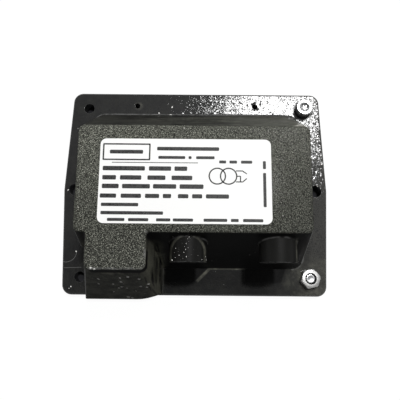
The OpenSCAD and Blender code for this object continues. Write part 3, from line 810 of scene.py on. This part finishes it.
plastic("brown_insulation", (0.13, 0.06, 0.03), (0.1, 0.045, 0.022))
plastic("green_insulation", (0.14, 0.3, 0.03), (0.55, 0.5, 0.03))
plastic("blue_insulation", (0.03, 0.1, 0.32), (0.025, 0.08, 0.26))
plastic("red_silicone", (0.42, 0.03, 0.02), (0.34, 0.025, 0.018), 0.5, 0.4 * mm, 0.015 * mm)
plastic("cream_nylon", (0.68, 0.62, 0.45), (0.6, 0.53, 0.37), 0.4, 0.8 * mm, 0.02 * mm)
plastic("carrier_plastic", (0.03, 0.03, 0.031), (0.04, 0.04, 0.04), 0.42, 0.6 * mm, 0.02 * mm)
plastic("pressboard", (0.56, 0.45, 0.28), (0.47, 0.36, 0.21), 0.75, 0.3 * mm, 0.03 * mm)
print("plastics are ready")

# %% [markdown]
# ** Core and windings.** The core is a stack of thin sheets with a dark line of varnish between them. A winding is enamelled wire, laid side by side along the coil, with painted shade in the grooves between its turns.

# %% Materials: core steel and enamelled wire
shader, place = material("core_steel", Metallic=1.0)
stack = add("SeparateXYZ", {0: place}).outputs["Z"]
sheets = trace("ridges", stack, Pitch=0.5 * mm)
stain = trace("smudges", place, Size=6 * mm)["Mask"]
colour = layered((0.42, 0.43, 0.45), (stain, (0.3, 0.27, 0.25)),
                 (sheets["Groove"], (0.05, 0.045, 0.04)))
feed(shader, Base_Color=colour, Roughness=linear(stain, 0.2, 0.38),
     Normal=bump(sheets["Height"], 0.06 * mm))


def enamelled(name, colour, painted_shade_line, pitch):
    """Enamelled copper wire, wound side by side along X."""
    shader, place = material(name, IOR=1.55, Coat_Weight=0.6, Coat_Roughness=0.12)
    turns = trace("ridges", add("SeparateXYZ", {0: place}).outputs["X"], Pitch=pitch)
    shade = trace("smudges", place, Size=4 * mm)["Mask"]
    # The grooves between turns get the painted shade colour.
    feed(shader, Base_Color=layered(colour, (times(shade, 0.4), painted_shade_line), (turns["Groove"], painted_shade_line)),
         Roughness=linear(shade, 0.1, 0.28), Metallic=linear(turns["Groove"], -0.6, 0.75),
         Normal=bump(turns["Height"], pitch * 0.4))


enamelled("primary_wire", (0.62, 0.27, 0.12), (0.1, 0.035, 0.015), 0.6 * mm)
enamelled("secondary_wire", (0.5, 0.17, 0.07), (0.08, 0.025, 0.012), 0.25 * mm)
print("core and wire are ready")

# %% [markdown]
# ## Pieces
#
# A CAD part arrives as loose triangles with knife-sharp edges. A piece that refines one starts with
# whole, which merges the triangles of a copy into whole faces, and ends with finish, which makes it
# an object that rides on the frame in place of the CAD part.

# %% Helpers for pieces
def whole(node):
    """A bmesh of a CAD part, with its triangles merged into whole faces."""
    bm = bmesh.new()
    bm.from_mesh(frame["nodes"][node].data)
    bmesh.ops.remove_doubles(bm, verts=bm.verts, dist=0.002 * mm)
    bmesh.ops.dissolve_limit(bm, angle_limit=radians(0.6), verts=bm.verts, edges=bm.edges)
    return bm


def rounded(bm, edges, width, steps):
    """Rounds edges of a bmesh and returns the new faces."""
    return bmesh.ops.bevel(bm, geom=edges, offset=width, offset_type="OFFSET", segments=steps,
                           profile=0.5, affect="EDGES", clamp_overlap=False, loop_slide=True,
                           material=-1)["faces"]


def sharp(bm, angle):
    """The edges of a bmesh that turn by more than an angle in degrees."""
    return [e for e in bm.edges if e.is_manifold and e.calc_face_angle() > radians(angle)]


def finish(bm, name, material, nodes, crease=35):
    """Makes a bmesh a piece that rides on the body and stands for CAD parts."""
    piece = placed(bm, name, material)
    piece.data.shade_smooth()
    piece.data.set_sharp_from_angle(angle=radians(crease))
    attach(piece, "root")
    if nodes:
        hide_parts(*nodes)
    print(name, "faces:", len(piece.data.polygons))
    return piece


# %% [markdown]
# ### The moulding
#
# The housing is one thick-walled moulding. Its sloped walls meet at soft edges, a small fillet runs
# along the foot of the hood and round the tubes, and the drilled holes have hardly any. All of these
# catch light, so they decide whether it looks moulded or cut from card.
#
# Edges could be rounded by a Bevel modifier, but then nothing would remember where they are. The
# bevel operator hands back its new faces, and an attribute on their corners tells the material where
# the plastic is rubbed. Edges that touch another part are hidden inside, and stay as they are.

# %% Find the moulding's outer edges
sharp_turn = 35
touching = 0.05 * mm

moulding = whole("housing")
others = bmesh.new()
for name, part in frame["nodes"].items():
    if name != "housing":
        others.from_mesh(part.data)
neighbours = BVHTree.FromBMesh(others)
others.free()


def middle_of(edge):
    """The point halfway along an edge."""
    return (edge.verts[0].co + edge.verts[1].co) / 2


def in_the_open(edge):
    """Whether an edge lies clear of every other part."""
    return neighbours.find_nearest(middle_of(edge))[3] > touching


sharp_edges = sharp(moulding, sharp_turn)
open_edges = [e for e in sharp_edges if in_the_open(e)]
print("outer edges:", len(open_edges), "of", len(sharp_edges))

# %% Sort the edges by how soft they are
right_holes = [(46.4, 36), (46.4, -36), (50.4, 0), (25.5, 37.4)]
holes = [Vector((side * x, y)) * mm for x, y in right_holes for side in (1, -1)]
hole_reach = 2.7 * mm
block_toe = Vector((-12.6, -42.5, ground)) * mm
toe_reach = 1.5 * mm
toe_length = 5 * mm
tube_rims = -29.5 * mm
tube_low = 25 * mm
fine, medium, wide = [], [], []
for edge in open_edges:
    middle = middle_of(edge)
    on_flange = middle.z < (flange_top + 0.05) * mm
    if min((vert.co - block_toe).length for vert in edge.verts) < toe_reach:
        if edge.calc_length() > toe_length:
            fine.append(edge)
    elif on_flange and min((middle.xy - hole).length for hole in holes) < hole_reach:
        fine.append(edge)
    elif middle.y < tube_rims and middle.z > tube_low and middle.x > block_right * mm:
        medium.append(edge)
    else:
        wide.append(edge)
print("fine:", len(fine), "medium:", len(medium), "wide:", len(wide))

# %% Round the moulding's edges
edge_layer = moulding.loops.layers.float.new("edge")
soft = []
for edges, width, steps in ((fine, 0.12 * mm, 2), (medium, 0.3 * mm, 3), (wide, 0.55 * mm, 3)):
    soft += rounded(moulding, [e for e in edges if e.is_valid], width, steps)
soft_set = {face for face in soft if face.is_valid}
for face in soft_set:
    for loop in face.loops:
        if all(f in soft_set for f in loop.vert.link_faces):
            loop[edge_layer] = 1.0
body = finish(moulding, "moulding", "black_moulding", ["housing"])
flatten = body.modifiers.new("keep flat faces flat", "WEIGHTED_NORMAL")
flatten.keep_sharp = True

# %% [markdown]
# ### The label
#
# The label is a thin film with round corners. Its print stands for what such a label says, in plain
# bars of the length of words, and a ring symbol for the two windings. Bars are cheaper than letters
# and say nothing that could be wrong.

# %% Label film
ink_t = 0.01 * mm
label_low, label_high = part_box("label")
film_middle = (label_low.z + label_high.z) / 2

film = whole("label")
for corner in film.verts:
    if corner.co.z > film_middle:
        corner.co.z -= ink_t
finish(film, "label_film", "label_film", ["label"])

# %% Helpers for the print
print_bm = bmesh.new()


def on_label(x, y):
    """A move to a place on the film, by distances from its left and its top in millimetres."""
    return Matrix.Translation((label_low.x + x * mm, label_high.y - y * mm, label_high.z - ink_t))


def bar(x0, x1, y, h, turn=0.0):
    """Prints a bar between two distances from the label's left, at one below its top."""
    size = Matrix.Diagonal(((x1 - x0) * mm, h * mm, 1, 1))
    spot = on_label((x0 + x1) / 2, y) @ Matrix.Rotation(turn, 4, "Z") @ size
    made = bmesh.ops.create_grid(print_bm, x_segments=1, y_segments=1, size=0.5, matrix=spot)["verts"]
    corner = min(0.25 * h, 0.3) * mm
    bmesh.ops.bevel(print_bm, geom=made, offset=corner, offset_type="OFFSET", segments=2, profile=0.5,
                    affect="VERTICES", material=-1)


print("label:", round((label_high.x - label_low.x) / mm, 1), "mm wide")

# %% Print
# Each line says how far it is below the label's top, how high it is, and where its words are.
lines = [
    (3.4, 1.25, [(18.8, 39.4)]),
    (6.4, 1.0, [(19.3, 28.2), (29.3, 30.3), (31.8, 37.9)]),
    (7.8, 1.0, [(39.4, 41.7), (42.8, 45.3), (46.6, 50.3)]),
    (8.2, 0.25, [(4.0, 32.4)]),
    (10.2, 1.5, [(1.1, 15.0), (16.3, 23.6), (24.7, 28.9)]),
    (13.3, 1.5, [(1.1, 5.6), (6.9, 13.9), (15.9, 21.8), (23.8, 30.6)]),
    (16.2, 1.5, [(1.1, 6.6), (7.7, 16.8), (17.8, 25.4), (26.5, 34.3)]),
    (19.4, 1.4, [(0.6, 5.9), (7.4, 14.0), (15.3, 19.9), (21.1, 23.8), (26.0, 29.4), (30.6, 33.9),
                 (35.1, 42.6)]),
    (22.3, 1.1, [(1.1, 13.2)]),
    (25.0, 1.1, [(1.1, 21.3)]),
    (27.2, 1.0, [(3.3, 8.9), (10.1, 16.6), (19.1, 23.7), (24.5, 31.0), (34.4, 42.0), (43.2, 45.7),
                 (47.1, 53.6)]),
]
for y, h, words in lines:
    for x0, x1 in words:
        bar(x0, x1, y, h)
side_line = 54.3
for y0, y1 in [(7.4, 10.1), (11.4, 22.8)]:
    half = (y1 - y0) / 2
    bar(side_line - half, side_line + half, (y0 + y1) / 2, 1.0, radians(90))
print("printed bars:", sum(len(words) for y, h, words in lines) + 2)

# %% Print: frame and winding symbol
frame_line = 0.5
for y in (1.9, 7.2):
    bar(0.9, 16.6, y, frame_line)
for x in (1.1, 16.4):
    bar(x - 2.65, x + 2.65, 4.55, frame_line, radians(90))
bar(3.2, 14.2, 4.55, 1.3)

ring_r = 2.66
ring_line = 0.45
for x in (38.8, 42.5):
    disc = bmesh.ops.create_circle(print_bm, cap_ends=True, radius=(ring_r + ring_line / 2) * mm,
                                   segments=48, matrix=on_label(x, 12.6))["verts"]
    face = disc[0].link_faces[0]
    bmesh.ops.inset_region(print_bm, faces=[face], use_boundary=True, thickness=ring_line * mm)
    bmesh.ops.delete(print_bm, geom=[face], context="FACES_ONLY")
for x0, y0, x1, y1 in [(44.9, 10.8, 47.2, 10.8), (47.1, 10.8, 48.5, 11.8), (45.2, 12.6, 46.4, 12.6),
                       (44.9, 14.5, 47.2, 14.5), (47.1, 14.5, 48.5, 13.3), (46.4, 12.5, 46.4, 14.6)]:
    half = hypot(x1 - x0, y1 - y0) / 2
    middle = (x0 + x1) / 2
    bar(middle - half, middle + half, (y0 + y1) / 2, 0.36, atan2(y0 - y1, x1 - x0))

raised = bmesh.ops.extrude_face_region(print_bm, geom=print_bm.faces[:])["geom"]
raised = [part for part in raised if isinstance(part, bmesh.types.BMVert)]
bmesh.ops.translate(print_bm, vec=(0, 0, ink_t), verts=raised)
bmesh.ops.recalc_face_normals(print_bm, faces=print_bm.faces)
finish(print_bm, "label_print", "label_ink", [])

# %% [markdown]
# ### Fasteners
#
# Screws and nuts are turned or pressed about an axis, so each one is a stack of rings. A ring has a height
# and a radius, and where the shape isn't round the radius is a function of the angle: that gives a hexagon,
# a knurl, or a thread, whose crest climbs one pitch in each turn. A third number says how much dirt and
# painted shade lies there.

# %% A helper for parts made of rings
def turned(bm, centre, rings, closed=True):
    """Joins rings about an upright axis. Both ends are closed, or the last ring meets the first."""
    count = 96
    layer = bm.verts.layers.float.new("dirt_and_shade")
    loops = []
    for radius, z, *dirt_and_shade in rings:
        loop = []
        for step in range(count):
            angle = 2 * pi * step / count
            reach = radius(angle, z) if callable(radius) else radius
            corner = bm.verts.new(centre + Vector((reach * cos(angle), reach * sin(angle), z)) * mm)
            corner[layer] = dirt_and_shade[0] if dirt_and_shade else 0.0
            loop.append(corner)
        loops.append(loop)
    pairs = list(zip(loops, loops[1:]))
    if not closed:
        pairs.append((loops[-1], loops[0]))
    for low, high in pairs:
        for i in range(count):
            j = (i + 1) % count
            bm.faces.new((low[i], low[j], high[j], high[i]))
    if closed:
        bm.faces.new(reversed(loops[0]))
        bm.faces.new(loops[-1])


print("the helper for rings is ready")

# %% Radii that change with the angle
thread_pitch = 0.7
thread_root = 1.57
thread_crest = 2.0


def hexagon(across, turn=0.0):
    """The radius of a hexagon at an angle, from its width across flats."""
    return lambda angle, z: across / 2 / cos((angle - turn) % radians(60) - radians(30))


def thread(angle, z):
    """The radius of a metric thread at an angle and a height."""
    climb = (z / thread_pitch - angle / (2 * pi)) % 1
    return thread_root + (thread_crest - thread_root) * (1 - abs(2 * climb - 1)) ** 0.8


def shank(z0, z1):
    """Rings of a thread between two heights, six to a turn."""
    steps = round((z1 - z0) / thread_pitch * 6)
    return [(thread, z0 + (z1 - z0) * step / steps) for step in range(steps + 1)]


print("hexagon 7 mm across flats, corner radius:", round(hexagon(7)(0, 0), 3), "mm")

# %% [markdown]
# **Cap screw.** A cold-headed M4 screw has a knurled side, a chamfered rim and a pressed hexagon
# socket with a conical floor. It is loose in its hole, and stands on the flange.

# %% Cap screw
corner_hole = Vector((46.4, 36, 0)) * mm
key = hexagon(3, radians(15))
head_radius = 3.5
knurl_depth = 0.07
knurl_ribs = 48


def knurl(angle, z):
    """The ribbed side of the head."""
    return head_radius - knurl_depth / 2 * (1 - cos(knurl_ribs * angle))


bm = bmesh.new()
rings = [(1.45, 0.5), (1.6, 0.65)] + shank(0.9, 5.2) + [(1.9, 5.35), (1.9, 5.5), (3.3, 5.5), (3.42, 5.6)]
rings += [(knurl, 5.9), (knurl, 9.1), (3.44, 9.3), (3.32, 9.46), (3.2, 9.5), (1.98, 9.5), (1.94, 9.48, 0.4)]
rings += [(key, 9.28, 0.55), (key, 8.4, 0.6), (1.35, 8.15, 0.1), (0.2, 7.95)]
turned(bm, corner_hole, rings)
finish(bm, "cap_screw_turned", "zinc_plate", ["cap_screw"], 40)

# %% [markdown]
# **Nut and bolt.** The nut is pressed and then faced, so both its ends are cones that cut the six
# corners in arcs, and its mouth is countersunk. The bolt comes up through it from below and ends
# just under its face in a small chamfer.

# %% Nut
bolt_hole = Vector((46.4, -36, 0)) * mm
nut_low, nut_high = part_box("hex_nut")
nut_base, nut_face = nut_low.z / mm, nut_high.z / mm
nut_across = 7
nut_corner = 3.97
cone_start, cone_slope = 3.45, 1.6


def nut_side(angle, z):
    """The nut's hexagon with soft corners, cut by a cone at each end."""
    end = min(z - nut_base, nut_face - z)
    cone = cone_start + end * cone_slope
    return min(hexagon(nut_across, radians(13))(angle, z), nut_corner, cone)


bm = bmesh.new()
rings = [(2.3, nut_base), (3.4, nut_base)]
rings += [(nut_side, nut_base + rise) for rise in (0.05, 0.15, 0.25, 0.36)]
rings += [(nut_side, nut_face - drop) for drop in (0.36, 0.25, 0.15, 0.05)]
rings += [(3.4, nut_face), (2.3, nut_face), (2.24, nut_face - 0.04), (2.2, nut_face - 0.08, 1.0)]
rings += [(2.08, nut_face - 0.25, 1.0), (2.06, nut_base + 0.2, 1.0)]
turned(bm, bolt_hole, rings, closed=False)
finish(bm, "nut_faced", "satin_zinc", ["hex_nut"], 30)

# %% Bolt
bm = bmesh.new()
rings = [(0.2, 1.05), (hexagon(3), 0.95), (hexagon(3), 0.12), (1.85, 0.0), (3.62, 0.0), (3.74, 0.06)]
rings += [(3.7, 0.2), (2.02, 2.15), (1.98, 2.3)] + [(radius, z, 1.0) for radius, z in shank(2.4, 7.75)]
rings += [(1.84, 7.95, 1.0), (1.78, 8.08, 1.0), (1.76, 8.1), (1.68, 8.17), (1.55, 8.2), (1.1, 8.17)]
rings += [(0.5, 8.08)]
turned(bm, bolt_hole, rings)
finish(bm, "bolt_turned", "zinc_plate", ["countersunk_bolt"], 40)

# %% [markdown]
# ### Contacts and blades
#
# The contacts in the outlets are turned brass, the blades in the primary socket are stamped and then
# tinned, and their carrier is moulded. None of them has a knife edge: a lathe tool breaks the rims, a
# press rolls one side of a blade over, and a mould has rounded corners. A narrow bevel gives each of
# them the thin bright line that metal shows along its edge.

# %% Soft edges on contacts, blades and carrier
softened = [
    (["left_hv_contact", "right_hv_contact"], "turned_brass", "contact_brass", 0.1),
    (["line_blade", "earth_blade", "neutral_blade"], "tinned_brass", "blade_tin", 0.06),
    (["blade_carrier"], "carrier_plastic", "carrier_plastic", 0.12),
]
for nodes, material_of, slot, width in softened:
    for node in nodes:
        bm = whole(node)
        rounded(bm, sharp(bm, 40), width * mm, 2)
        finish(bm, node + "_soft", material_of, [node])

# %% [markdown]
# ### Parts that stay as they are
#
# The resin and all that it holds lie inside, so their CAD meshes are fine and only get materials.

# %% Materials for the parts that stay
carried = {
    "potting_resin": ["potting_resin"],
    "core_steel": ["i_core", "u_core", "magnetic_shunt"], "pressboard": ["shunt_spacer"],
    "cream_nylon": ["primary_bobbin", "left_secondary_bobbin", "right_secondary_bobbin"],
    "primary_wire": ["primary_winding"],
    "secondary_wire": ["left_secondary_winding", "right_secondary_winding"],
    "red_silicone": ["left_hv_lead", "right_hv_lead"], "brown_insulation": ["line_lead"],
    "green_insulation": ["earth_lead"], "blue_insulation": ["neutral_lead"],
}
for material_of, nodes in carried.items():
    for node in nodes:
        slots = frame["nodes"][node].data.materials
        slots.clear()
        slots.append(bpy.data.materials[material_of])
print("carried parts:", sum(len(nodes) for nodes in carried.values()))
